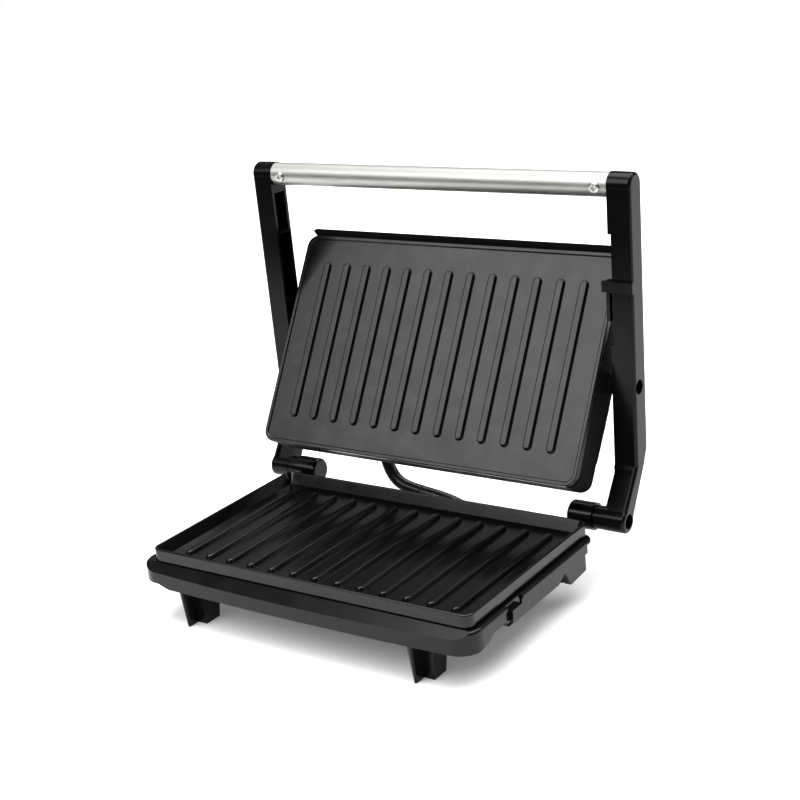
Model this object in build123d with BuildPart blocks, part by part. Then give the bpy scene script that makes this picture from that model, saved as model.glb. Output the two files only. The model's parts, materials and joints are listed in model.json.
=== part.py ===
from build123d import *
import math
import os

# A table-top panini press, standing open. A ribbed tray lies in a base on four feet. The ribbed
# lid hangs between the two arms of a handle, which is hinged at the back of the base.
# X runs to the right, Y to the back, Z up from the table. Millimetres.

# Where the lower plate lies: its centre in Y, and its rim's top above the table
TRAY_Y = -32.54
RIM_Z = 46.0

# Lower plate, heights measured down from its rim
LOWER_W = 230.0
LOWER_D = 139.5
LOWER_CORNER = 6.0
RIM_H = 7.5
RIM_LAND = 1.5
PAN_FLOOR = -7.0
LOWER_RIB_TOP = -4.3
LOWER_BODY_BOTTOM = -10.5

# Ribs, the same on both plates
RIBS = 13
RIB_PITCH = 16.13
RIB_W = 6.0

# Base housing, heights measured from the rim
DECK_TOP = -8.5
CREASE = -13.4
FLANGE_BOTTOM = -17.0
SKIRT_BOTTOM = -22.0
BASE_LEFT = -122.2
BASE_RIGHT = 118.9
BASE_FRONT = -76.0
BASE_BOW = 2.6
SLOPE_BACK = -70.0
BASE_BACK = 70.0
SIDE_WALL_X = 118.0
LIP_BOTTOM = -11.2
BODY_BACK = 61.0
WALL = 2.5
BOTTOM_COVER_T = 2.0
GROUND = -RIM_Z

# Hinge of the handle, in Y and Z from the tray
HINGE_Y = 82.6
HINGE_Z = -2.5
KNUCKLE_R = 8.6
KNUCKLE_IN = 97.0
KNUCKLE_OUT = 113.6
KNUCKLE_FOOT_W = 8.0
BARREL_R = 7.6
BARREL_IN = 114.4
HINGE_PIN_R = 3.5
RUNNING_FIT = 0.05

# Handle arms, which lean outwards by SPLAY and are alike apart from the latch track
ARM_OUT_X = 135.6
ARM_T = 15.0
SPLAY = math.degrees(math.atan(0.0135))
ARM_FRONT = 95.7
ARM_BACK = 110.9
ARM_WALL = 2.2
ARM_BEND_Z = 28.0
BAR_Y = 103.3
BAR_Z = 198.8
BAR_R = 7.4
BAR_BORE_R = 6.3
BAR_HALF = 123.0
BAR_SCREW_X = 115.4
ARM_TOP_R = 7.7

# Lid, which hangs on two pivots; V runs up its slope from its centre, N out of its ribbed face
LID_Y = 86.755
LID_Z = 91.05
LID_SLOPE = 58.813
UPPER_W = 234.6
UPPER_D = 144.0
UPPER_CORNER = 8.0
UPPER_RIM_H = 4.5
UPPER_FIELD = -0.9
UPPER_RIB_TOP = 1.0
UPPER_BODY_BOTTOM = -6.0
LID_W = 235.0
LID_BACK = -24.0
LID_CROWN = -27.5
CROWN_HALF = UPPER_D / 2 + 1
LID_LIP_V = 77.0
LID_SCREW_SEAT = -24.0
PIVOT_Y = 101.6
PIVOT_Z = 77.5
PIVOT_PIN_R = 3.0
PIVOT_BOSS_R = 6.0

# Latch clip on the right arm, at its upper place
CLIP_LOW = 136.6
CLIP_H = 6.5

# Heating parts
ELEMENT_R = 3.2
SHEET_T = 0.6
POST_X = 65.0
POST_Y = 23.0
SCREW_R = 1.6
PAN_W = 206.0
PAN_D = 106.0

# Conduit that carries the lid's wires
CONDUIT_R = 4.2
CONDUIT_X = 36.0
MAINS_X = -60.0
GLAND_Z = -22.5
GLAND_SEAT = 58.2
GLAND_FACE = 61.5
LID_GLAND = (-45.0, -60.0)
LID_GLAND_SEAT = -24.2
LID_GLAND_FACE = -27.2
LAMPS = {"red": -14.0, "green": 14.0}
LAMP_V = 56.0


def level(z):
    """Horizontal plane at height z from the tray's rim."""
    return Plane((0, TRAY_Y, RIM_Z + z))


def across(x):
    """Upright plane facing +X, whose sketches are drawn in Y and Z from the tray."""
    return Plane((x, TRAY_Y, RIM_Z), x_dir=(0, 1, 0), z_dir=(1, 0, 0))


def facing_back(y):
    """Upright plane facing +Y, whose sketches are drawn in -X and Z from the tray."""
    return Plane((0, TRAY_Y + y, RIM_Z), x_dir=(-1, 0, 0), z_dir=(0, 1, 0))


LID_RAD = math.radians(LID_SLOPE)
LID = Plane(
    (0, TRAY_Y + LID_Y, RIM_Z + LID_Z),
    x_dir=(1, 0, 0),
    z_dir=(0, -math.sin(LID_RAD), math.cos(LID_RAD)),
)
LID_UP = Axis(LID.origin, LID.z_dir)

SPLAY_RAD = math.radians(SPLAY)
ARM = Plane(
    (ARM_OUT_X, TRAY_Y, RIM_Z),
    x_dir=(0, 1, 0),
    z_dir=(math.cos(SPLAY_RAD), 0, -math.sin(SPLAY_RAD)),
)
ARM_AXIS = Axis(ARM.origin, ARM.z_dir)


def lid_across(x):
    """Plane facing +X, whose sketches are drawn in V and N of the lid."""
    return Plane((x, TRAY_Y + LID_Y, RIM_Z + LID_Z), x_dir=LID.y_dir, z_dir=(1, 0, 0))


def finish(builder, name):
    """Label one finished piece and write it."""
    builder.part.label = name
    export_step(builder.part, f"parts/{name}.step")


def rib_places(centre):
    """Middles of the ribs, side by side along X."""
    return [((i - (RIBS - 1) / 2) * RIB_PITCH, centre) for i in range(RIBS)]


os.makedirs("parts", exist_ok=True)

# ---------------------------------------------------------------- base


def base_outline():
    """The base seen from above: a bowed front and a straight back."""
    with BuildLine() as edge:
        ThreePointArc((BASE_LEFT, BASE_FRONT), (0, BASE_FRONT - BASE_BOW), (BASE_RIGHT, BASE_FRONT))
        Polyline(
            (BASE_RIGHT, BASE_FRONT), (BASE_RIGHT, BASE_BACK),
            (BASE_LEFT, BASE_BACK), (BASE_LEFT, BASE_FRONT),
        )
    make_face(edge.edges())


# places of the screws that go in from below, in X and Y from the tray
PLATE_POSTS = [(x, y) for x in (-POST_X, POST_X) for y in (-POST_Y, POST_Y)]
COVER_SCREWS = [(x, y) for x in (-108.5, 108.5) for y in (-62, 18)]
FRONT_FOOT_X = (-88.0, 78.6)
FRONT_FOOT_SCREWS = [(x + 4, -58) for x in FRONT_FOOT_X]
REAR_FOOT_SCREWS = [(-82, 49), (82, 49)]

KNUCKLE_FOOT = [
    (58.5, FLANGE_BOTTOM),
    (58.5, LIP_BOTTOM - 0.3),
    (66.0, LIP_BOTTOM - 0.3),
    (66.0, DECK_TOP),
    (72.0, DECK_TOP),
    (75.5, -6.0),
    (HINGE_Y, HINGE_Z),
    (HINGE_Y, HINGE_Z - KNUCKLE_R),
    (73.0, FLANGE_BOTTOM),
]

# the lower walls, with an arch on each side in front of the deeper rear compartment
with BuildPart() as base_body:
    with BuildSketch(level(-29)):
        with Locations((0, (BODY_BACK - 52) / 2)):
            Rectangle(2 * SIDE_WALL_X, BODY_BACK + 52)
    extrude(amount=29 - 12)
    fillet(base_body.edges().filter_by(Axis.Z).sort_by(Axis.Y)[-2:], 4)
    with BuildSketch(across(-SIDE_WALL_X)) as body_side:
        with BuildLine():
            Polyline(
                (-52, -12), (-52, -18), (-37, -18), (-34, SKIRT_BOTTOM), (24, SKIRT_BOTTOM),
                (32, -18), (38.6, -28.2), (58, -27), (BODY_BACK, -14), (BODY_BACK, -12), (-52, -12),
            )
        make_face()
    extrude(amount=2 * SIDE_WALL_X, mode=Mode.INTERSECT)

with BuildPart() as base_housing:
    with BuildSketch(level(FLANGE_BOTTOM)) as flange:
        base_outline()
        fillet(flange.vertices().group_by(Axis.Y)[0], 14)
        fillet(flange.vertices().group_by(Axis.Y)[-1], 8)
    extrude(amount=DECK_TOP - FLANGE_BOTTOM)
    # in front of the tray the top slopes down to a crease, which runs out at the corners
    with BuildSketch(across(-130)):
        with BuildLine():
            Polyline(
                (SLOPE_BACK, DECK_TOP), (BASE_FRONT - BASE_BOW, CREASE),
                (BASE_FRONT - 10, CREASE), (BASE_FRONT - 10, 0), (SLOPE_BACK, 0), close=True,
            )
        make_face()
    extrude(amount=260, mode=Mode.SUBTRACT)
    top = base_housing.faces().sort_by(Axis.Z)[-1]
    fillet([e for e in top.edges() if e.center().Y - TRAY_Y > SLOPE_BACK + 1], 2)
    # the front skirt goes lower than the flange and rises again along both sides
    with BuildSketch(level(SKIRT_BOTTOM)) as skirt:
        base_outline()
        fillet(skirt.vertices().group_by(Axis.Y)[0], 14)
        with Locations((0, 16)):
            Rectangle(260, 120, mode=Mode.SUBTRACT)
    extrude(amount=FLANGE_BOTTOM - SKIRT_BOTTOM + 2)
    with BuildSketch(across(-130)):
        with BuildLine():
            Polyline((-67, SKIRT_BOTTOM), (-44, FLANGE_BOTTOM), (-40, SKIRT_BOTTOM - 1), close=True)
        make_face()
    extrude(amount=260, mode=Mode.SUBTRACT)
    with BuildSketch(facing_back(-90)):
        with BuildLine():
            Polyline((126, -19.2), (106, -19.6), (98, SKIRT_BOTTOM), (98, -30), (126, -30), close=True)
        make_face()
    extrude(amount=40, mode=Mode.SUBTRACT)
    # along the sides and the back only a thin lip stands out over the walls
    with BuildSketch(level(-30)):
        with Locations((0, 10)):
            Rectangle(260, 130)
        with Locations((0, (BODY_BACK - 60) / 2)):
            Rectangle(2 * SIDE_WALL_X, BODY_BACK + 60, mode=Mode.SUBTRACT)
    extrude(amount=30 + LIP_BOTTOM, mode=Mode.SUBTRACT)
    add(base_body.part)
    # hollow, open at the bottom, lower under the sloping front, with a large opening in the deck
    with BuildSketch(level(-30)) as hollow:
        with BuildLine():
            ThreePointArc((-113.3, -73.5), (0, -76), (113.3, -73.5))
            Polyline((113.3, -73.5), (113.3, 55.5), (-113.3, 55.5), (-113.3, -73.5))
        make_face()
        fillet(hollow.vertices().group_by(Axis.Y)[0], 10)
        fillet(hollow.vertices().group_by(Axis.Y)[-1], 2)
    extrude(amount=14, mode=Mode.SUBTRACT)
    with BuildSketch(level(-30)):
        with Locations((0, (55.5 - 69) / 2)):
            RectangleRounded(226.6, 55.5 + 69, 2)
    extrude(amount=30 + DECK_TOP - WALL, mode=Mode.SUBTRACT)
    with BuildSketch(level(DECK_TOP - 4)):
        RectangleRounded(220, 129, 4)
    extrude(amount=8, mode=Mode.SUBTRACT)
    # pads that carry the tray's rim, and posts for the cover's screws
    with BuildSketch(level(DECK_TOP)):
        with GridLocations(225, 90, 2, 2):
            Rectangle(3, 12)
    extrude(amount=-RIM_H - DECK_TOP)
    with BuildSketch(level(SKIRT_BOTTOM + BOTTOM_COVER_T)):
        with Locations(*COVER_SCREWS):
            Circle(4)
    extrude(amount=DECK_TOP - WALL - SKIRT_BOTTOM - BOTTOM_COVER_T)
    with BuildSketch(level(SKIRT_BOTTOM + BOTTOM_COVER_T)):
        with Locations(*COVER_SCREWS):
            Circle(SCREW_R)
    extrude(amount=8, mode=Mode.SUBTRACT)
    # knuckles of the handle's hinge, bored from outside
    for side in (-1, 1):
        with BuildSketch(across(side * (KNUCKLE_IN + 2.5))):
            with BuildLine():
                Polyline(*KNUCKLE_FOOT, close=True)
            make_face()
        extrude(amount=side * (KNUCKLE_FOOT_W - 2.5))
        with BuildSketch(across(side * KNUCKLE_IN)):
            with Locations((HINGE_Y, HINGE_Z)):
                Circle(KNUCKLE_R)
        extrude(amount=side * (KNUCKLE_OUT - KNUCKLE_IN))
    inner_ends = base_housing.edges().filter_by(GeomType.CIRCLE).filter_by(
        lambda e: abs(abs(e.center().X) - KNUCKLE_IN) < 0.01
    )
    fillet(inner_ends, 2)
    for side in (-1, 1):
        with BuildSketch(across(side * (KNUCKLE_IN + 2.5))):
            with Locations((HINGE_Y, HINGE_Z)):
                Circle(HINGE_PIN_R)
        extrude(amount=side * 20, mode=Mode.SUBTRACT)
    # catch for the latch on the right side
    with BuildSketch(across(117.2)):
        with Locations((-27.5, -14)):
            Rectangle(17, 14)
    extrude(amount=6, mode=Mode.SUBTRACT)
    with BuildSketch(across(116)):
        with Locations((-27.5, -15.6)):
            Rectangle(11, 6.8)
    extrude(amount=4.2)
    # holes for the two cable glands in the rear wall
    with BuildSketch(facing_back(GLAND_SEAT)):
        with Locations((-MAINS_X, GLAND_Z), (-CONDUIT_X, GLAND_Z)):
            Circle(4.45)
    extrude(amount=-8, mode=Mode.SUBTRACT)
    with BuildSketch(facing_back(GLAND_SEAT)):
        with Locations((-MAINS_X, GLAND_Z), (-CONDUIT_X, GLAND_Z)):
            Circle(5.4)
    extrude(amount=6, mode=Mode.SUBTRACT)
finish(base_housing, "base_housing")

with BuildPart() as base_bottom_cover:
    with BuildSketch(across(-113)):
        with BuildLine():
            Polyline(
                (-73, SKIRT_BOTTOM), (28, SKIRT_BOTTOM), (37, -27.5), (55.3, -27.5),
                (55.3, -25.5), (38, -25.5), (29, SKIRT_BOTTOM + BOTTOM_COVER_T),
                (-73, SKIRT_BOTTOM + BOTTOM_COVER_T), close=True,
            )
        make_face()
    extrude(amount=226)
    front_corners = base_bottom_cover.edges().filter_by(Axis.Z).sort_by(Axis.Y)[0:2]
    fillet(front_corners, 11)
    fillet(base_bottom_cover.edges().filter_by(Axis.Z).sort_by(Axis.Y)[-2:], 2)
    with BuildSketch(level(SKIRT_BOTTOM)):
        with GridLocations(14, 30, 9, 2):
            SlotOverall(20, 2.5, rotation=90)
        with Locations(*COVER_SCREWS, *PLATE_POSTS, *FRONT_FOOT_SCREWS, *REAR_FOOT_SCREWS):
            Circle(SCREW_R)
    extrude(amount=10, both=True, mode=Mode.SUBTRACT)
finish(base_bottom_cover, "base_bottom_cover")

# ---------------------------------------------------------------- lower plate and its heater

with BuildPart() as lower_grill_plate:
    with BuildSketch(level(-RIM_H)):
        RectangleRounded(LOWER_W, LOWER_D, LOWER_CORNER)
    extrude(amount=RIM_H)
    with BuildSketch(level(-RIM_H)):
        RectangleRounded(LOWER_W - 12, LOWER_D - 12, LOWER_CORNER)
    extrude(amount=LOWER_BODY_BOTTOM + RIM_H)
    with BuildSketch(level(0)):
        RectangleRounded(LOWER_W - 2 * RIM_LAND, LOWER_D - 2 * RIM_LAND, LOWER_CORNER - RIM_LAND)
    extrude(amount=PAN_FLOOR, taper=28, mode=Mode.SUBTRACT)
    fillet(lower_grill_plate.edges().group_by(Axis.Z)[-1], 0.9)
    with BuildSketch(level(PAN_FLOOR - 0.1)):
        with Locations(*rib_places(-1.5)):
            SlotOverall(LOWER_D - 27.6, RIB_W, rotation=90)
    extrude(amount=LOWER_RIB_TOP - PAN_FLOOR + 0.1, taper=22)
    rib_edges = lower_grill_plate.edges().filter_by(
        lambda e: abs(e.center().Z - RIM_Z - LOWER_RIB_TOP) < 0.01
    )
    fillet(rib_edges, 1.2)
    # posts that the plate's screws go into from below
    with BuildSketch(level(LOWER_BODY_BOTTOM)):
        with Locations(*PLATE_POSTS):
            Circle(4)
    extrude(amount=SKIRT_BOTTOM + BOTTOM_COVER_T + 0.1 - LOWER_BODY_BOTTOM)
    with BuildSketch(level(SKIRT_BOTTOM + BOTTOM_COVER_T)):
        with Locations(*PLATE_POSTS):
            Circle(SCREW_R)
    extrude(amount=8, mode=Mode.SUBTRACT)
finish(lower_grill_plate, "lower_grill_plate")


def heating_element(name, plane, depth):
    """A bent tubular heater whose two ends come back to the middle of one long side."""
    with BuildPart() as element:
        with BuildLine(plane.offset(depth)) as route:
            FilletPolyline((-22, 44), (-90, 44), (-90, -44), (90, -44), (90, 44), (22, 44), radius=18)
        with BuildSketch(Plane(route.line @ 0, z_dir=route.line % 0)):
            Circle(ELEMENT_R)
        sweep()
        for side in (-1, 1):
            terminal = plane.from_local_coords((side * 22, 44, depth))
            with BuildSketch(Plane(terminal, z_dir=(-side, 0, 0))):
                Circle(1.2)
            extrude(amount=11)
    finish(element, name)


def reflector(name, plane, depth, turn):
    """A thin pan behind the heater, with holes for the posts and a notch for the terminals."""
    with BuildPart() as pan:
        with BuildSketch(plane.offset(depth)):
            RectangleRounded(PAN_W, PAN_D, 6)
        extrude(amount=turn * 5)
        with BuildSketch(plane.offset(depth + turn * SHEET_T)):
            RectangleRounded(PAN_W - 2 * SHEET_T, PAN_D - 2 * SHEET_T, 5.4)
        extrude(amount=turn * 6, mode=Mode.SUBTRACT)
        with BuildSketch(plane.offset(depth)):
            with Locations(*PLATE_POSTS):
                Circle(5)
            Circle(9.5)
            with Locations((0, PAN_D / 2)):
                Rectangle(60, 30)
        extrude(amount=8, both=True, mode=Mode.SUBTRACT)
    finish(pan, name)


heating_element("lower_heating_element", level(0), LOWER_BODY_BOTTOM - ELEMENT_R - 0.1)
reflector("lower_reflector", level(0), -19.2, 1)

with BuildPart() as thermostat:
    with BuildSketch(level(-15.8)):
        Circle(8.5)
    extrude(amount=5.1)
    with BuildSketch(level(-15.8)):
        Circle(6.5)
    extrude(amount=-3)
    with BuildSketch(level(-18.8)):
        with Locations((-3, 0), (3, 0)):
            Rectangle(1, 5)
    extrude(amount=1)
finish(thermostat, "thermostat")


def thermal_fuse(name, plane, x, depth):
    """A small capsule between two leads."""
    with BuildPart() as fuse:
        with BuildSketch(Plane(plane.from_local_coords((x - 5.5, 0, depth)), z_dir=(1, 0, 0))):
            Circle(2)
        extrude(amount=11)
        with BuildSketch(Plane(plane.from_local_coords((x - 13, 0, depth)), z_dir=(1, 0, 0))):
            Circle(0.5)
        extrude(amount=26)
    finish(fuse, name)


thermal_fuse("lower_thermal_fuse", level(0), 35, -13)

with BuildPart() as terminal_block:
    with BuildSketch(level(-25.4)):
        with Locations((0, 49)):
            RectangleRounded(44, 9, 1)
    extrude(amount=5.6)
    with BuildSketch(level(-19.8)):
        with Locations(*[(x, 49) for x in (-16.5, -5.5, 5.5, 16.5)]):
            Circle(2.2)
    extrude(amount=-3, mode=Mode.SUBTRACT)
finish(terminal_block, "terminal_block")

# ---------------------------------------------------------------- feet and screws of the base

with BuildPart() as foot_shape:
    # long blade that narrows downwards and ends in a point at the front
    with BuildSketch(level(SKIRT_BOTTOM)):
        with BuildLine():
            Polyline((-1.9, -52), (1.7, -52), (1.7, -76.5), (0.6, -77.5), (-1.9, -76), close=True)
        make_face()
    with BuildSketch(level(GROUND)):
        with BuildLine():
            Polyline((-0.7, -52.6), (1.5, -52.6), (1.5, -73.5), (0.7, -74.6), (-0.7, -73.5), close=True)
        make_face()
    loft()
    # cross web and the short second blade
    with BuildSketch(level(SKIRT_BOTTOM)):
        with Locations((4.2, -65.5)):
            Rectangle(6.6, 2)
    extrude(amount=GROUND - SKIRT_BOTTOM)
    with BuildSketch(across(6.5)):
        with BuildLine():
            Polyline(
                (-66.5, GROUND), (-66.5, SKIRT_BOTTOM), (-52, SKIRT_BOTTOM), (-52, -33),
                (-54.5, GROUND), close=True,
            )
        make_face()
    extrude(amount=2)
    # flange with the hole for its screw
    with BuildSketch(level(SKIRT_BOTTOM)):
        with Locations((4, -58)):
            Rectangle(6, 12)
        with Locations((4, -58)):
            Circle(SCREW_R, mode=Mode.SUBTRACT)
    extrude(amount=-2)

for name, x in zip(("front_foot_left", "front_foot_right"), FRONT_FOOT_X):
    with BuildPart() as front_foot:
        add(foot_shape.part.moved(Location((x, 0, 0))))
    finish(front_foot, name)

REAR_FOOT_TOP = -27.5
REAR_FOOT_HEEL = 15.0

# the heels reach back under the opened lid
for name, (x, y) in zip(("rear_foot_left", "rear_foot_right"), REAR_FOOT_SCREWS):
    with BuildPart() as rear_foot:
        with BuildSketch(level(REAR_FOOT_TOP)):
            with Locations((x, y)):
                RectangleRounded(14, 12, 2)
        with BuildSketch(level(GROUND)):
            with Locations((x, y + (REAR_FOOT_HEEL - 4.5) / 2)):
                RectangleRounded(11, 4.5 + REAR_FOOT_HEEL, 1.5)
        loft()
        with BuildSketch(level(GROUND)):
            with Locations((x, y)):
                Circle(3)
        extrude(amount=14, mode=Mode.SUBTRACT)
        with BuildSketch(level(GROUND)):
            with Locations((x, y)):
                Circle(SCREW_R)
        extrude(amount=20, mode=Mode.SUBTRACT)
    finish(rear_foot, name)


def screws(name, plane, places, shank, head_r=3.0, head_h=1.8):
    """A group of equal pan-head screws whose heads lie on the plane and shanks go against it."""
    with BuildPart() as group:
        with BuildSketch(plane):
            with Locations(*places):
                Circle(head_r)
        extrude(amount=head_h)
        fillet(group.edges().group_by(Axis(plane.origin, plane.z_dir))[-1], head_h * 0.6)
        with BuildSketch(plane.offset(head_h)):
            with Locations(*places):
                Rectangle(head_r, 0.7)
                Rectangle(0.7, head_r)
        extrude(amount=-0.8, mode=Mode.SUBTRACT)
        with BuildSketch(plane):
            with Locations(*places):
                Circle(SCREW_R - 0.05)
        extrude(amount=-shank)
    finish(group, name)


def below(z):
    """Horizontal plane facing down, whose sketches are drawn in X and -Y from the tray."""
    return Plane((0, TRAY_Y, RIM_Z + z), x_dir=(1, 0, 0), z_dir=(0, 0, -1))


screws(
    "cover_screws", below(SKIRT_BOTTOM),
    [(x, -y) for x, y in COVER_SCREWS], 8,
)
screws(
    "lower_plate_screws", below(SKIRT_BOTTOM),
    PLATE_POSTS, 8,
)
screws(
    "front_foot_screws", below(SKIRT_BOTTOM - 2),
    [(x, -y) for x, y in FRONT_FOOT_SCREWS], 3.9, 2.1, 1.4,
)
screws(
    "rear_foot_screws", below(GROUND + 14),
    [(x, -y) for x, y in REAR_FOOT_SCREWS], 6.4, 2.6, 1.6,
)

# ---------------------------------------------------------------- glands, wires and conduit


def gland(name, x):
    """A grommet in the base's rear wall, bored for its cable."""
    with BuildPart() as grommet:
        with BuildSketch(facing_back(GLAND_SEAT)):
            with Locations((-x, GLAND_Z)):
                Circle(5.3)
        extrude(amount=GLAND_FACE - GLAND_SEAT)
        fillet(grommet.edges().group_by(Axis.Y)[-1], 0.6)
        with BuildSketch(facing_back(GLAND_SEAT)):
            with Locations((-x, GLAND_Z)):
                Circle(4.4)
        extrude(amount=-2.6)
        with BuildSketch(facing_back(GLAND_FACE)):
            with Locations((-x, GLAND_Z)):
                Circle(3.2)
        extrude(amount=-12, mode=Mode.SUBTRACT)
    finish(grommet, name)


gland("mains_cord_gland", MAINS_X)
gland("conduit_gland_base", CONDUIT_X)


def bent_rod(route, radius, bends):
    """A round rod along straight runs joined by tangent arcs; call it inside a part."""
    with BuildLine():
        line = FilletPolyline(*route, radius=bends)
    with BuildSketch(Plane(line @ 0, z_dir=line % 0)) as section:
        Circle(radius)
    sweep(section.sketch, path=line)
    return line.length


def at(x, y, z):
    """A point given from the tray, in the part's frame."""
    return (x, TRAY_Y + y, RIM_Z + z)


LEADS = [
    [at(-11, 44, -13.8), at(-5.5, 44, -13.8), at(-5.5, 49, -17.5), at(-5.5, 49, -22)],
    [at(11, 44, -13.8), at(5.5, 44, -13.8), at(5.5, 49, -17.5), at(5.5, 49, -22)],
    [at(-22, 49, -21.4), at(-54, 49, -21.4), at(-60, 54, -21.4), at(-60, 61, -21.4)],
    [at(-22, 49, -23.6), at(-54, 49, -23.6), at(-60, 54, -23.6), at(-60, 61, -23.6)],
    [at(22, 49, -21.4), at(30, 49, -21.4), at(36, 54, -21.4), at(36, 61, -21.4)],
    [at(22, 49, -23.6), at(30, 49, -23.6), at(36, 54, -23.6), at(36, 61, -23.6)],
]
with BuildPart() as base_wiring:
    for lead in LEADS:
        bent_rod(lead, 0.9, 1.8)
finish(base_wiring, "base_wiring")

CONDUIT_ROUTE = [
    at(36, GLAND_FACE, GLAND_Z),
    at(36, 77, GLAND_Z),
    at(24, 86, -17),
    at(4, 88, -10.5),
    at(-18, 86.5, -7.2),
    at(-34, 86, -4),
    at(-42.5, 87, 6),
    tuple(LID.from_local_coords((*LID_GLAND, LID_GLAND_FACE - 10))),
    tuple(LID.from_local_coords((*LID_GLAND, LID_GLAND_FACE))),
]


def bend_radii(route, share=0.45):
    """The largest equal-share arc at each corner of a route."""
    radii = []
    for before, corner, after in zip(route, route[1:], route[2:]):
        run_in = Vector(*corner) - Vector(*before)
        run_out = Vector(*after) - Vector(*corner)
        half_turn = math.radians(run_in.get_angle(run_out)) / 2
        radii.append(share * min(run_in.length, run_out.length) / math.tan(half_turn))
    return radii


with BuildPart() as conduit:
    radii = bend_radii(CONDUIT_ROUTE)
    conduit_length = bent_rod(CONDUIT_ROUTE, CONDUIT_R, radii)
print("conduit bends", [round(r, 1) for r in radii], "length", round(conduit_length, 1))
print("conduit volume / (section x length)",
      round(conduit.part.volume / (math.pi * CONDUIT_R**2 * conduit_length), 4))
finish(conduit, "conduit")

# ---------------------------------------------------------------- hinge pins


for name, side in (("hinge_pin_left", -1), ("hinge_pin_right", 1)):
    with BuildPart() as hinge_pin:
        with BuildSketch(across(side * 100)):
            with Locations((HINGE_Y, HINGE_Z)):
                Circle(HINGE_PIN_R)
        extrude(amount=side * 28)
        with BuildSketch(across(side * 128)):
            with Locations((HINGE_Y, HINGE_Z)):
                Circle(4.4)
        extrude(amount=side * 2.6)
        with BuildSketch(across(side * 130.6)):
            with Locations((HINGE_Y, HINGE_Z)):
                Rectangle(5, 1)
                Rectangle(1, 5)
        extrude(amount=-side * 1.2, mode=Mode.SUBTRACT)
    finish(hinge_pin, name)

# ---------------------------------------------------------------- handle


def arm_outline():
    """One arm from the side: a straight bar above, a bend, and a leg down to the hinge."""
    with BuildLine() as edge:
        Polyline(
            (ARM_FRONT, BAR_Z), (ARM_FRONT, ARM_BEND_Z), (92.4, 22.6), (78.0, 2.6),
            (HINGE_Y, HINGE_Z), (88.2, -5.0), (93.3, 3.7), (106.9, 26.7), (ARM_BACK, 36.0),
            (ARM_BACK, BAR_Z), close=True,
        )
    make_face(edge.edges())
    with Locations((BAR_Y, BAR_Z)):
        Circle(ARM_TOP_R)
    with Locations((HINGE_Y, HINGE_Z)):
        Circle(BARREL_R)


with BuildPart() as arm_blank:
    with BuildSketch(ARM) as outline:
        arm_outline()
        bends = outline.vertices().filter_by(
            lambda v: ARM_BEND_Z - 8 < v.Z - RIM_Z < 40 and v.Y - TRAY_Y > 90
        )
        fillet(bends, 5)
    extrude(amount=-ARM_T)
    # the outer edge is well rounded at the back and only broken at the front
    outer = arm_blank.faces().sort_by(ARM_AXIS)[-1]
    fillet(outer.edges(), 2)
    # open channel on the inside, between cross ribs
    with BuildSketch(ARM.offset(-ARM_WALL)):
        for low, high in ((34, 84), (86, 112), (114, 158), (160, 186)):
            with Locations(((ARM_FRONT + ARM_BACK) / 2, (low + high) / 2)):
                Rectangle(ARM_BACK - ARM_FRONT - 2 * ARM_WALL, high - low)
        with Locations((PIVOT_Y, PIVOT_Z)):
            Circle(PIVOT_BOSS_R, mode=Mode.SUBTRACT)
    extrude(amount=-ARM_T, mode=Mode.SUBTRACT)
    # the leg's front face lies behind the outer wall's edge
    with BuildSketch(ARM.offset(-2.6)):
        with BuildLine():
            Polyline(
                (ARM_FRONT - 6, 24), (ARM_FRONT - 0.5, 26), (94.6, 22.2), (81.0, 3.4), (76, 4),
                close=True,
            )
        make_face()
    extrude(amount=-ARM_T, mode=Mode.SUBTRACT)
    # hinge barrel
    with BuildSketch(across(BARREL_IN)):
        with Locations((HINGE_Y, HINGE_Z)):
            Circle(BARREL_R - 0.3)
    extrude(amount=123 - BARREL_IN)
    # spigot that the bar is pushed on to
    with BuildSketch(across(104)):
        with Locations((BAR_Y, BAR_Z)):
            Circle(BAR_BORE_R - 0.1)
    extrude(amount=24)
    with BuildSketch(across(100)):
        with Locations((HINGE_Y, HINGE_Z)):
            Circle(HINGE_PIN_R + RUNNING_FIT)
        with Locations((PIVOT_Y, PIVOT_Z)):
            Circle(PIVOT_PIN_R)
    extrude(amount=50, mode=Mode.SUBTRACT)
    with BuildSketch(across(127.8)):
        with Locations((HINGE_Y, HINGE_Z)):
            Circle(4.7)
        with Locations((PIVOT_Y, PIVOT_Z)):
            Circle(4.5)
    extrude(amount=20, mode=Mode.SUBTRACT)
    with BuildSketch(Plane((BAR_SCREW_X, TRAY_Y + BAR_Y, RIM_Z + BAR_Z), z_dir=(0, -1, -0.1))):
        Circle(SCREW_R)
    extrude(amount=12, mode=Mode.SUBTRACT)

with BuildPart() as arm_left:
    mirror(arm_blank.part, about=Plane.YZ)
finish(arm_left, "arm_left")

with BuildPart() as arm_right:
    add(arm_blank.part)
    # track in the front wall, and a channel clear of ribs, for the sliding latch
    with BuildSketch(ARM.offset(-ARM_T + 2)):
        with BuildLine():
            Polyline(
                (ARM_FRONT - 1, 104), (ARM_FRONT + ARM_WALL + 4.5, 104),
                (ARM_FRONT + ARM_WALL + 4.5, 171), (ARM_FRONT - 1, 171), close=True,
            )
        make_face()
    extrude(amount=-ARM_T, mode=Mode.SUBTRACT)
    with BuildSketch(ARM.offset(-ARM_T + 5)):
        with Locations((ARM_FRONT + ARM_WALL + 2.2, 128)):
            Rectangle(4.4, 86)
    extrude(amount=-ARM_T, mode=Mode.SUBTRACT)
finish(arm_right, "arm_right")

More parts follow.
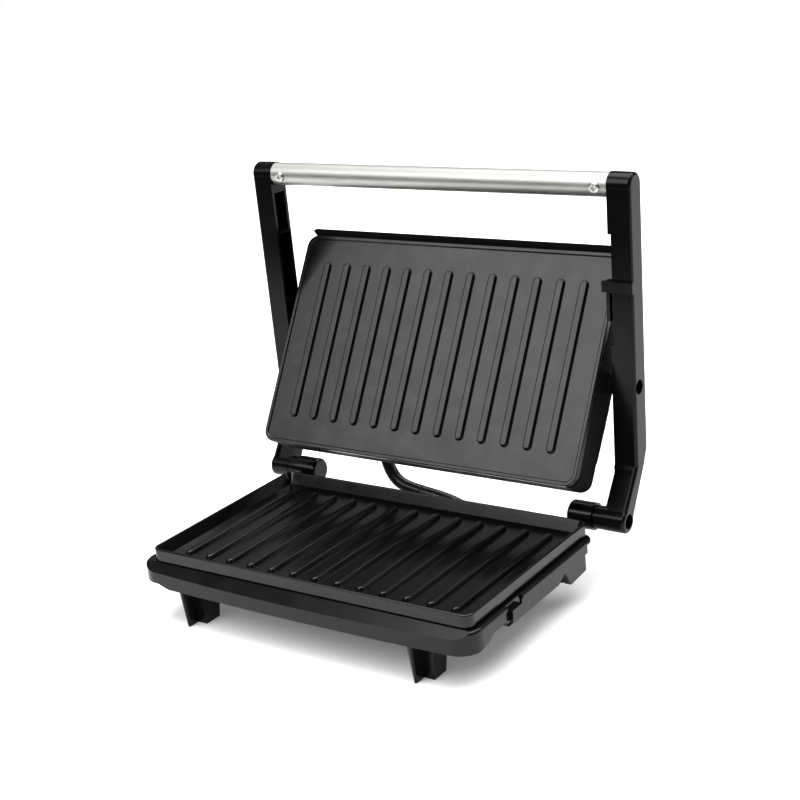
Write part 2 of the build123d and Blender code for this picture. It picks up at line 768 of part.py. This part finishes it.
with BuildPart() as handle_bar:
    with BuildSketch(across(-BAR_HALF)):
        with Locations((BAR_Y, BAR_Z)):
            Circle(BAR_R)
            Circle(BAR_BORE_R, mode=Mode.SUBTRACT)
    extrude(amount=2 * BAR_HALF)
    for side in (-1, 1):
        centre = Plane((side * BAR_SCREW_X, TRAY_Y + BAR_Y, RIM_Z + BAR_Z), z_dir=(0, -1, -0.1))
        with BuildSketch(centre):
            Circle(SCREW_R)
        extrude(amount=12, mode=Mode.SUBTRACT)
        with BuildSketch(centre.offset(BAR_R - 0.5)):
            Circle(3.6)
        extrude(amount=3, mode=Mode.SUBTRACT)
finish(handle_bar, "handle_bar")

screws(
    "bar_screws",
    Plane(
        (0, TRAY_Y + BAR_Y, RIM_Z + BAR_Z), x_dir=(1, 0, 0), z_dir=(0, -1, -0.1)
    ).offset(BAR_R - 0.5),
    [(-BAR_SCREW_X, 0), (BAR_SCREW_X, 0)], 6, 3.3, 1.6,
)

for name, side in (("lid_pivot_pin_left", -1), ("lid_pivot_pin_right", 1)):
    with BuildPart() as pivot_pin:
        with BuildSketch(across(side * 109)):
            with Locations((PIVOT_Y, PIVOT_Z)):
                Circle(PIVOT_PIN_R)
        extrude(amount=side * 18.8)
        with BuildSketch(across(side * 127.8)):
            with Locations((PIVOT_Y, PIVOT_Z)):
                Circle(4.2)
        extrude(amount=side * 2.4)
        with BuildSketch(across(side * 130.2)):
            with Locations((PIVOT_Y, PIVOT_Z)):
                Rectangle(5, 1)
                Rectangle(1, 5)
        extrude(amount=-side * 1.2, mode=Mode.SUBTRACT)
    finish(pivot_pin, name)

# ---------------------------------------------------------------- sliding latch

with BuildPart() as latch_clip:
    # face plate in front of the arm
    with BuildSketch(ARM.offset(0.9)):
        with Locations((ARM_FRONT - 1.2, CLIP_LOW + CLIP_H / 2)):
            Rectangle(2, CLIP_H)
    extrude(amount=-20.2)
    # inner side that runs in the arm's track, and the hook behind the arm's front wall
    with BuildSketch(ARM.offset(-15.4)):
        with BuildLine():
            Polyline(
                (ARM_FRONT - 2.2, CLIP_LOW), (ARM_FRONT + 1.0, CLIP_LOW), (ARM_FRONT + 1.0, 118),
                (ARM_FRONT + 4.6, 118), (ARM_FRONT + 4.6, CLIP_LOW + CLIP_H),
                (ARM_FRONT - 2.2, CLIP_LOW + CLIP_H), close=True,
            )
        make_face()
    extrude(amount=-2.2)
    with BuildSketch(ARM.offset(-15.4)):
        with Locations((ARM_FRONT + ARM_WALL + 1.4, CLIP_LOW + CLIP_H / 2)):
            Rectangle(2, CLIP_H)
    extrude(amount=4)
    fillet(latch_clip.edges().filter_by(Axis(ARM.origin, ARM.y_dir)).sort_by(Axis.Y)[0:2], 0.8)
finish(latch_clip, "latch_clip")

# ---------------------------------------------------------------- lid

# finger lip along the lid's front edge: flared towards the plate, with pointed ends
with BuildPart() as finger_lip:
    with BuildSketch(lid_across(-116)):
        with BuildLine():
            Polyline(
                (70.5, -9), (LID_LIP_V - 0.8, -9), (LID_LIP_V, -8.2), (LID_LIP_V, -1.4),
                (LID_LIP_V - 0.6, -1), (72.6, -2.8), (72.3, -4.6), (70.5, -4.6), close=True,
            )
        make_face()
    extrude(amount=232)
    with BuildSketch(LID.offset(-10)):
        with BuildLine():
            Polyline(
                (-112, 70), (-113.2, 72.5), (-116, LID_LIP_V - 1.6), (-113.6, LID_LIP_V),
                (113.6, LID_LIP_V), (116, LID_LIP_V - 1.6), (113.2, 72.5), (112, 70), close=True,
            )
        make_face()
    extrude(amount=12, mode=Mode.INTERSECT)

with BuildPart() as lid_housing:
    with BuildSketch(LID.offset(-UPPER_RIM_H)):
        RectangleRounded(LID_W, UPPER_D, 7)
    extrude(amount=LID_CROWN + UPPER_RIM_H)
    with BuildSketch(lid_across(-118)):
        with BuildLine():
            ThreePointArc((-CROWN_HALF, LID_BACK), (0, LID_CROWN), (CROWN_HALF, LID_BACK))
            Polyline(
                (CROWN_HALF, LID_BACK), (CROWN_HALF, -UPPER_RIM_H),
                (-CROWN_HALF, -UPPER_RIM_H), (-CROWN_HALF, LID_BACK),
            )
        make_face()
    extrude(amount=236, mode=Mode.INTERSECT)
    back_face = lid_housing.faces().sort_by(LID_UP)[0]
    fillet(back_face.outer_wire().edges(), 3)
    with BuildSketch(LID.offset(-UPPER_RIM_H)):
        RectangleRounded(LID_W - 2 * WALL, UPPER_D - 2 * WALL, 5)
    extrude(amount=LID_BACK + WALL + UPPER_RIM_H, mode=Mode.SUBTRACT)
    add(finger_lip.part)
    # pivot bosses on both sides
    with BuildSketch(across(-121.2)):
        with Locations((PIVOT_Y, PIVOT_Z)):
            Circle(PIVOT_BOSS_R)
    extrude(amount=13.2)
    with BuildSketch(across(121.2)):
        with Locations((PIVOT_Y, PIVOT_Z)):
            Circle(PIVOT_BOSS_R)
    extrude(amount=-13.2)
    with BuildSketch(across(-122)):
        with Locations((PIVOT_Y, PIVOT_Z)):
            Circle(PIVOT_PIN_R + RUNNING_FIT)
    extrude(amount=244, mode=Mode.SUBTRACT)
    # posts for the plate's screws, and the holes for lamps and conduit
    with BuildSketch(LID.offset(LID_BACK + WALL)):
        with Locations(*PLATE_POSTS):
            Circle(4)
    extrude(amount=UPPER_BODY_BOTTOM - 0.1 - LID_BACK - WALL)
    with BuildSketch(LID.offset(UPPER_BODY_BOTTOM)):
        with Locations(*PLATE_POSTS):
            Circle(SCREW_R)
    extrude(amount=-20, mode=Mode.SUBTRACT)
    with BuildSketch(LID.offset(LID_BACK)):
        with Locations(*[(x, LAMP_V) for x in LAMPS.values()]):
            Circle(3.5)
        with Locations(LID_GLAND):
            Circle(4.45)
    extrude(amount=8, both=True, mode=Mode.SUBTRACT)
    with BuildSketch(LID.offset(LID_SCREW_SEAT)):
        with Locations(*PLATE_POSTS):
            Circle(3.5)
    extrude(amount=-8, mode=Mode.SUBTRACT)
    with BuildSketch(LID.offset(LID_GLAND_SEAT)):
        with Locations(LID_GLAND):
            Circle(7.1)
    extrude(amount=-8, mode=Mode.SUBTRACT)
finish(lid_housing, "lid_housing")

with BuildPart() as upper_grill_plate:
    with BuildSketch(LID.offset(-UPPER_RIM_H)):
        RectangleRounded(UPPER_W, UPPER_D, UPPER_CORNER)
    extrude(amount=UPPER_RIM_H)
    with BuildSketch(LID.offset(-UPPER_RIM_H)):
        RectangleRounded(UPPER_W - 8, UPPER_D - 8, UPPER_CORNER - 3)
    extrude(amount=UPPER_BODY_BOTTOM + UPPER_RIM_H)
    with BuildSketch(LID):
        RectangleRounded(UPPER_W - 4.4, UPPER_D - 4.4, UPPER_CORNER - 2.2)
    extrude(amount=UPPER_FIELD, taper=35, mode=Mode.SUBTRACT)
    fillet(upper_grill_plate.edges().group_by(LID_UP)[-1], 0.5)
    with BuildSketch(LID.offset(UPPER_FIELD)):
        with Locations(*rib_places(0)):
            SlotOverall(UPPER_D - 36, RIB_W, rotation=90)
    extrude(amount=UPPER_RIB_TOP - UPPER_FIELD, taper=22)
    fillet(upper_grill_plate.edges().group_by(LID_UP)[-1], 0.9)
    with BuildSketch(LID.offset(UPPER_BODY_BOTTOM)):
        with Locations(*PLATE_POSTS):
            Circle(SCREW_R)
    extrude(amount=4, mode=Mode.SUBTRACT)
finish(upper_grill_plate, "upper_grill_plate")

# the lid's heater is turned round, so that its ends lie at the hinge side
LID_TURNED = Plane(LID.origin, x_dir=(-1, 0, 0), z_dir=LID.z_dir)
LID_OUTSIDE = Plane(LID.offset(LID_SCREW_SEAT).origin, x_dir=(1, 0, 0), z_dir=-LID.z_dir)
LID_HEATER = UPPER_BODY_BOTTOM - ELEMENT_R - 0.1
heating_element("upper_heating_element", LID_TURNED, LID_HEATER)
reflector("upper_reflector", LID_TURNED, -14.6, 1)
thermal_fuse("upper_thermal_fuse", LID, 35, -9.5)
screws("upper_plate_screws", LID_OUTSIDE, PLATE_POSTS, 21)

for colour, x in LAMPS.items():
    with BuildPart() as lens:
        with BuildSketch(LID.offset(LID_CROWN + 6)):
            with Locations((x, LAMP_V)):
                Circle(3.45)
        extrude(amount=-7.2)
        fillet(lens.edges().group_by(LID_UP)[0], 1.2)
    finish(lens, f"indicator_lens_{colour}")

with BuildPart() as indicator_lamps:
    with BuildSketch(LID.offset(LID_CROWN + 6.1)):
        with Locations(*[(x, LAMP_V) for x in LAMPS.values()]):
            Circle(2.4)
    extrude(amount=3.6)
finish(indicator_lamps, "indicator_lamps")

with BuildPart() as conduit_gland_lid:
    with BuildSketch(LID.offset(LID_GLAND_SEAT)):
        with Locations(LID_GLAND):
            Circle(7)
    extrude(amount=LID_GLAND_FACE - LID_GLAND_SEAT)
    fillet(conduit_gland_lid.edges().group_by(LID_UP)[0], 1)
    with BuildSketch(LID.offset(LID_GLAND_SEAT)):
        with Locations(LID_GLAND):
            Circle(4.4)
    extrude(amount=2.7)
    with BuildSketch(LID.offset(LID_GLAND_FACE)):
        with Locations(LID_GLAND):
            Circle(3.2)
    extrude(amount=12, mode=Mode.SUBTRACT)
finish(conduit_gland_lid, "conduit_gland_lid")


def in_lid(x, v, n):
    """A point given in the lid's own plane, in the part's frame."""
    return tuple(LID.from_local_coords((x, v, n)))


LID_LEADS = [
    [
        in_lid(-46.2, -60, -26), in_lid(-46.2, -60, -19.4), in_lid(-18, -59, -19),
        in_lid(-5.5, -52, -18.5), in_lid(-5.5, -44, LID_HEATER), in_lid(-11, -44, LID_HEATER),
    ],
    [
        in_lid(-43.8, -60, -26), in_lid(-43.8, -60, -19.4), in_lid(-16, -56, -19),
        in_lid(5.5, -52, -18.5), in_lid(5.5, -44, LID_HEATER), in_lid(11, -44, LID_HEATER),
    ],
]
with BuildPart() as lid_wiring:
    for lead in LID_LEADS:
        bent_rod(lead, 0.9, 2)
finish(lid_wiring, "lid_wiring")
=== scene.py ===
import json
import math

import bmesh
import bpy
from mathutils import Matrix, Vector


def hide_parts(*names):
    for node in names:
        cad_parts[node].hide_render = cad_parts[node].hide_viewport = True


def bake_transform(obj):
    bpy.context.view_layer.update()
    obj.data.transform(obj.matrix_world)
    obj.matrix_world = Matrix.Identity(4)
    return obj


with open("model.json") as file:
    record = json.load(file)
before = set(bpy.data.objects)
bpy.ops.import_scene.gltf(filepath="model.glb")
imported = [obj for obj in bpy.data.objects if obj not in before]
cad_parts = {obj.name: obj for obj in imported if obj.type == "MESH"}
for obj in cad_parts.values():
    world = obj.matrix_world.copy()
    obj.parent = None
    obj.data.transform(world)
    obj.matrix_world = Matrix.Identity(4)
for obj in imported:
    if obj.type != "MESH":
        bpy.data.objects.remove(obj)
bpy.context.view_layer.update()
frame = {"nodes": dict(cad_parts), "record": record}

NODES = frame["nodes"]

# The tray's centre and its rim's height in the row frame, in metres, as in the part
TRAY_Y = -0.03254
RIM_Z = 0.046


def at(x, y, z):
    """A point in millimetres from the middle of the tray's rim, in the row frame in metres."""
    return Vector((x / 1000, TRAY_Y + y / 1000, RIM_Z + z / 1000))


# ---------------------------------------------------------------- camera

CAMERA_PLACE = at(521.8, -686.5, 369.6)
CAMERA_TURN = 35.5
CAMERA_DOWN = 18.49
CAMERA_ROLL = -5.25
LENS = 68.9
SHIFT_X = 0.0019
SHIFT_Y = 0.0059


def make_camera():
    camera = bpy.data.objects.new("camera", bpy.data.cameras.new("camera"))
    camera.data.lens = LENS
    camera.data.sensor_width = 36
    camera.data.shift_x = SHIFT_X
    camera.data.shift_y = SHIFT_Y
    camera.data.clip_start = 0.01
    turn = (
        Matrix.Rotation(math.radians(CAMERA_TURN), 4, "Z")
        @ Matrix.Rotation(math.radians(90 - CAMERA_DOWN), 4, "X")
        @ Matrix.Rotation(math.radians(CAMERA_ROLL), 4, "Z")
    )
    camera.matrix_world = Matrix.Translation(CAMERA_PLACE) @ turn
    bpy.context.scene.collection.objects.link(camera)
    bpy.context.scene.camera = camera


make_camera()

# ---------------------------------------------------------------- materials


class Paint:
    """A small helper that builds one node material."""

    def __init__(self, name, colour, roughness, metallic=0.0, **sockets):
        self.material = bpy.data.materials.new(name)
        self.material.use_nodes = True
        self.tree = self.material.node_tree
        self.shader = self.tree.nodes["Principled BSDF"]
        self.shader.inputs["Base Color"].default_value = (*colour, 1)
        self.shader.inputs["Roughness"].default_value = roughness
        self.shader.inputs["Metallic"].default_value = metallic
        for key, value in sockets.items():
            self.shader.inputs[key.replace("_", " ")].default_value = value
        self.place = self.tree.nodes.new("ShaderNodeTexCoord").outputs["Object"]
        self.normal = None

    def link(self, out, into):
        self.tree.links.new(out, into)

    def stretched(self, scale):
        """Object coordinates scaled by a different amount along each axis."""
        mapping = self.tree.nodes.new("ShaderNodeMapping")
        mapping.inputs["Scale"].default_value = scale
        self.link(self.place, mapping.inputs["Vector"])
        return mapping.outputs["Vector"]

    def noise(self, scale, detail=3.0, place=None):
        node = self.tree.nodes.new("ShaderNodeTexNoise")
        node.inputs["Scale"].default_value = scale
        node.inputs["Detail"].default_value = detail
        self.link(place or self.place, node.inputs["Vector"])
        return node.outputs["Fac"]

    def spread(self, value, low, high, start=0.3, stop=0.7):
        """A noise value mapped from start..stop to low..high."""
        node = self.tree.nodes.new("ShaderNodeMapRange")
        node.inputs["From Min"].default_value = start
        node.inputs["From Max"].default_value = stop
        node.inputs["To Min"].default_value = low
        node.inputs["To Max"].default_value = high
        self.link(value, node.inputs["Value"])
        return node.outputs["Result"]

    def bump(self, value, strength, distance):
        node = self.tree.nodes.new("ShaderNodeBump")
        node.inputs["Strength"].default_value = strength
        node.inputs["Distance"].default_value = distance
        self.link(value, node.inputs["Height"])
        if self.normal:
            self.link(self.normal, node.inputs["Normal"])
        self.normal = node.outputs["Normal"]
        self.link(self.normal, self.shader.inputs["Normal"])

    def roughen(self, value, low, high):
        self.link(self.spread(value, low, high), self.shader.inputs["Roughness"])

    def tint(self, value, first, second):
        """The base colour runs from first to second with a value from 0.3 to 0.7."""
        ramp = self.tree.nodes.new("ShaderNodeValToRGB")
        ramp.color_ramp.elements[0].position = 0.3
        ramp.color_ramp.elements[1].position = 0.7
        ramp.color_ramp.elements[0].color = (*first, 1)
        ramp.color_ramp.elements[1].color = (*second, 1)
        self.link(value, ramp.inputs["Fac"])
        self.link(ramp.outputs["Color"], self.shader.inputs["Base Color"])


def black_plastic(name, gloss):
    """Glossy black ABS: faint flow marks and a very fine mould texture."""
    p = Paint(name, (0.0055, 0.0056, 0.0062), 0.22, Specular_IOR_Level=gloss)
    p.roughen(p.noise(45, 4), 0.17, 0.25)
    p.tint(p.noise(18), (0.0045, 0.0046, 0.0052), (0.0065, 0.0067, 0.0073))
    p.bump(p.noise(35, 2), 0.12, 0.0004)
    p.bump(p.noise(2400, 2), 0.10, 0.00002)
    return p.material


def satin_plastic():
    """The lid's black housing: a fine moulded grain that reflects little."""
    p = Paint("satin_plastic", (0.0055, 0.0056, 0.0062), 0.6, Specular_IOR_Level=0.1)
    p.roughen(p.noise(60, 3), 0.52, 0.66)
    p.bump(p.noise(1600, 2), 0.25, 0.00003)
    return p.material


def nonstick_plate(name, low, high):
    """Dark non-stick coating: a fine sprayed grain with a soft gloss."""
    p = Paint(name, (0.005, 0.005, 0.0052), (low + high) / 2)
    p.roughen(p.noise(70, 4), low, high)
    p.tint(p.noise(1500, 2), (0.003, 0.003, 0.0032), (0.007, 0.007, 0.0072))
    p.bump(p.noise(1300, 3), 0.22, 0.00004)
    return p.material


def brushed_bar():
    """Satin aluminium tube, a little uneven in its finish."""
    p = Paint("brushed_bar", (0.44, 0.435, 0.42), 0.48, metallic=1.0)
    p.roughen(p.noise(1.0, 2, p.stretched((60, 400, 400))), 0.45, 0.51)
    p.tint(p.noise(30, 2), (0.42, 0.415, 0.40), (0.46, 0.455, 0.44))
    return p.material


def metal(name, colour, low, high, grain=700, bump=0.1):
    p = Paint(name, colour, (low + high) / 2, metallic=1.0)
    p.roughen(p.noise(120), low, high)
    p.bump(p.noise(grain, 2), bump, 0.00002)
    return p.material


def moulded(name, colour, low, high, **sockets):
    """A plain moulded or rubber surface with a fine grain."""
    p = Paint(name, colour, (low + high) / 2, **sockets)
    p.roughen(p.noise(150), low, high)
    p.bump(p.noise(1800, 2), 0.15, 0.00003)
    return p.material


def conduit_sleeve():
    """Dark glossy sleeve with a faint woven relief."""
    p = Paint("conduit_sleeve", (0.032, 0.032, 0.034), 0.3)
    p.roughen(p.noise(300), 0.2, 0.34)
    p.bump(p.noise(900, 2), 0.25, 0.00006)
    return p.material


def woven_wire():
    p = Paint("wire_sleeve", (0.72, 0.70, 0.64), 0.8)
    p.tint(p.noise(2500, 1), (0.55, 0.53, 0.47), (0.8, 0.78, 0.72))
    p.bump(p.noise(3000, 1), 0.5, 0.0001)
    return p.material


MATERIALS = {
    "black_plastic": black_plastic("black_plastic", 0.38),
    "arm_plastic": black_plastic("arm_plastic", 0.25),
    "satin_plastic": satin_plastic(),
    "nonstick_plate": nonstick_plate("nonstick_plate", 0.25, 0.32),
    "tray_coating": nonstick_plate("tray_coating", 0.16, 0.21),
    "brushed_bar": brushed_bar(),
    "zinc_screw": metal("zinc_screw", (0.62, 0.62, 0.6), 0.22, 0.34),
    "dark_steel": metal("dark_steel", (0.05, 0.05, 0.05), 0.35, 0.5),
    "heater_tube": metal("heater_tube", (0.2, 0.19, 0.18), 0.4, 0.6),
    "reflector_sheet": metal("reflector_sheet", (0.75, 0.75, 0.75), 0.15, 0.3, grain=200),
    "bare_metal": metal("bare_metal", (0.55, 0.55, 0.54), 0.25, 0.4),
    "gland_rubber": moulded("gland_rubber", (0.012, 0.012, 0.012), 0.5, 0.65),
    "conduit_sleeve": conduit_sleeve(),
    "wire_sleeve": woven_wire(),
    "white_plastic": moulded("white_plastic", (0.72, 0.71, 0.67), 0.4, 0.55),
    "lamp_glass": moulded("lamp_glass", (0.8, 0.45, 0.25), 0.05, 0.15, Transmission_Weight=0.8),
    "coated_steel": moulded("coated_steel", (0.011, 0.011, 0.011), 0.42, 0.55),
    "red_lens": moulded("red_lens", (0.45, 0.01, 0.008), 0.08, 0.16, Coat_Weight=0.5),
    "green_lens": moulded("green_lens", (0.01, 0.3, 0.03), 0.08, 0.16, Coat_Weight=0.5),
}


def set_material(obj, slot, material=None):
    obj.data.materials.clear()
    obj.data.materials.append(MATERIALS[material or slot])


# the tray is a little glossier than the lid's plate, and the arms a little duller than the base
OWN_MATERIAL = {
    "lower_grill_plate": "tray_coating",
    "arm_left": "arm_plastic",
    "arm_right": "arm_plastic",
}

for part in frame["record"]["subparts"]:
    set_material(NODES[part["node"]], part["material_slot"], OWN_MATERIAL.get(part["node"]))

# ---------------------------------------------------------------- conduit between base and lid

CONDUIT_RADIUS = 0.0042
CONDUIT_ROUTE = [
    at(36, 61.5, -22.5),
    at(36, 77, -22.5),
    at(24, 86, -17),
    at(4, 88, -10.5),
    at(-18, 86.5, -7.2),
    at(-34, 86, -4),
    at(-42.5, 87, 6),
    at(-45, 87.32, 20.56),
    at(-45, 78.77, 25.74),
]
RING = 28


def spline_points(name, route):
    """Points along the smooth curve that has the route as its control points."""
    curve = bpy.data.curves.new(name, "CURVE")
    curve.dimensions = "3D"
    spline = curve.splines.new("NURBS")
    spline.points.add(len(route) - 1)
    for point, place in zip(spline.points, route):
        point.co = (*place, 1)
    spline.order_u = 3
    spline.use_endpoint_u = True
    curve.resolution_u = 24
    holder = bpy.data.objects.new(name, curve)
    bpy.context.scene.collection.objects.link(holder)
    mesh = bpy.data.meshes.new_from_object(holder)
    points = [v.co.copy() for v in mesh.vertices]
    bpy.data.objects.remove(holder)
    bpy.data.meshes.remove(mesh)
    return points


def tube(name, points, radius):
    """A closed round tube along points, with a frame that doesn't twist."""
    bm = bmesh.new()
    side = None
    rings = []
    for i, place in enumerate(points):
        ahead = (points[min(i + 1, len(points) - 1)] - points[max(i - 1, 0)]).normalized()
        if side is None:
            side = ahead.orthogonal().normalized()
        side = (side - ahead * side.dot(ahead)).normalized()
        up = ahead.cross(side)
        ring = []
        for k in range(RING):
            angle = 2 * math.pi * k / RING
            outwards = side * math.cos(angle) + up * math.sin(angle)
            ring.append(bm.verts.new(place + radius * outwards))
        rings.append(ring)
    for first, second in zip(rings, rings[1:]):
        for k in range(RING):
            bm.faces.new((first[k], first[(k + 1) % RING], second[(k + 1) % RING], second[k]))
    bm.faces.new(list(reversed(rings[0])))
    bm.faces.new(rings[-1])
    mesh = bpy.data.meshes.new(name)
    bm.to_mesh(mesh)
    bm.free()
    for face in mesh.polygons:
        face.use_smooth = len(face.vertices) == 4
    obj = bpy.data.objects.new(name, mesh)
    bpy.context.scene.collection.objects.link(obj)
    return obj


def make_conduit():
    """The conduit as a lower and an upper tube half along one curve, in place of the hidden CAD
    conduit.
    """
    points = spline_points("conduit_line", CONDUIT_ROUTE)
    middle = len(points) // 2
    lower_path, upper_path = points[: middle + 1], points[middle:]
    lower = tube("conduit_lower", lower_path, CONDUIT_RADIUS)
    upper = tube("conduit_upper", upper_path, CONDUIT_RADIUS)
    for piece in (lower, upper):
        set_material(piece, "conduit_sleeve")
    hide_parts("conduit")
    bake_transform(lower)
    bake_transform(upper)


make_conduit()

# ---------------------------------------------------------------- floor and light

FLOOR_COLOUR = (0.86, 0.86, 0.86)
FLOOR_GLOW = 0.2
FLOOR_FRONT = -0.5
FLOOR_REACH = 6.0
SKY_STRENGTH = 5.2
SKY_ANGLE = 70
SKY_PLACE = (0.1, 0.3, 2.0)
KEY_PLACE = (-0.42, -1.0, 1.12)
KEY_AIM = (0, 0.05, 0.12)
KEY_SIZE = (1.35, 0.9)
KEY_RADIANCE = 5.2
RIM_PLACE = (1.2, 0.9, 0.7)
RIM_AIM = (0, 0.05, 0.1)
RIM_SIZE = (0.5, 0.9)
RIM_RADIANCE = 2.2
VIEW_GAMMA = 0.8
# the world's strength runs from the front value to the back one as the direction's Y does
AMBIENT_FRONT = 0.03
AMBIENT_BACK = 0.35
AMBIENT_START = -0.5
AMBIENT_STOP = 0.6


def make_floor():
    mesh = bpy.data.meshes.new("floor")
    corners = [
        (-FLOOR_REACH, FLOOR_FRONT, 0), (FLOOR_REACH, FLOOR_FRONT, 0),
        (FLOOR_REACH, FLOOR_REACH, 0), (-FLOOR_REACH, FLOOR_REACH, 0),
    ]
    mesh.from_pydata(corners, [], [(0, 1, 2, 3)])
    floor = bpy.data.objects.new("floor", mesh)
    bpy.context.scene.collection.objects.link(floor)
    p = Paint("floor", FLOOR_COLOUR, 0.9, Emission_Strength=FLOOR_GLOW)
    p.shader.inputs["Emission Color"].default_value = (1, 1, 1, 1)
    p.tint(p.noise(3), (0.85, 0.85, 0.85), (0.87, 0.87, 0.87))
    mesh.materials.append(p.material)


def aimed(name, light, place, aim):
    """Adds a light at a place, facing a point."""
    obj = bpy.data.objects.new(name, light)
    obj.location = place
    obj.rotation_euler = (Vector(aim) - Vector(place)).to_track_quat("-Z", "Y").to_euler()
    bpy.context.scene.collection.objects.link(obj)


def softbox(name, place, aim, width, height, radiance):
    """A rectangular light that looks equally bright whatever its size."""
    light = bpy.data.lights.new(name, "AREA")
    light.shape = "RECTANGLE"
    light.size = width
    light.size_y = height
    light.energy = radiance * math.pi * width * height
    aimed(name, light, place, aim)


def make_world():
    """White behind the object for the camera; what lights it is dark in front."""
    world = bpy.data.worlds.new("studio")
    world.use_nodes = True
    tree = world.node_tree
    background = tree.nodes["Background"]
    background.inputs["Color"].default_value = (1, 1, 1, 1)
    direction = tree.nodes.new("ShaderNodeTexCoord").outputs["Generated"]
    split = tree.nodes.new("ShaderNodeSeparateXYZ")
    tree.links.new(direction, split.inputs["Vector"])
    ramp = tree.nodes.new("ShaderNodeMapRange")
    ramp.interpolation_type = "SMOOTHSTEP"
    ramp.inputs["From Min"].default_value = AMBIENT_START
    ramp.inputs["From Max"].default_value = AMBIENT_STOP
    ramp.inputs["To Min"].default_value = AMBIENT_FRONT
    ramp.inputs["To Max"].default_value = AMBIENT_BACK
    tree.links.new(split.outputs["Y"], ramp.inputs["Value"])
    seen = tree.nodes.new("ShaderNodeLightPath").outputs["Is Camera Ray"]
    either = tree.nodes.new("ShaderNodeMath")
    either.operation = "MAXIMUM"
    tree.links.new(seen, either.inputs[0])
    tree.links.new(ramp.outputs["Result"], either.inputs[1])
    tree.links.new(either.outputs["Value"], background.inputs["Strength"])
    bpy.context.scene.world = world


def make_light():
    make_world()
    sky = bpy.data.lights.new("sky", "SUN")
    sky.energy = SKY_STRENGTH
    sky.angle = math.radians(SKY_ANGLE)
    aimed("sky", sky, SKY_PLACE, (0, 0, 0))
    softbox("key", KEY_PLACE, KEY_AIM, *KEY_SIZE, KEY_RADIANCE)
    softbox("rim", RIM_PLACE, RIM_AIM, *RIM_SIZE, RIM_RADIANCE)


make_floor()
make_light()
bpy.context.scene.view_settings.view_transform = "Standard"
bpy.context.scene.view_settings.gamma = VIEW_GAMMA
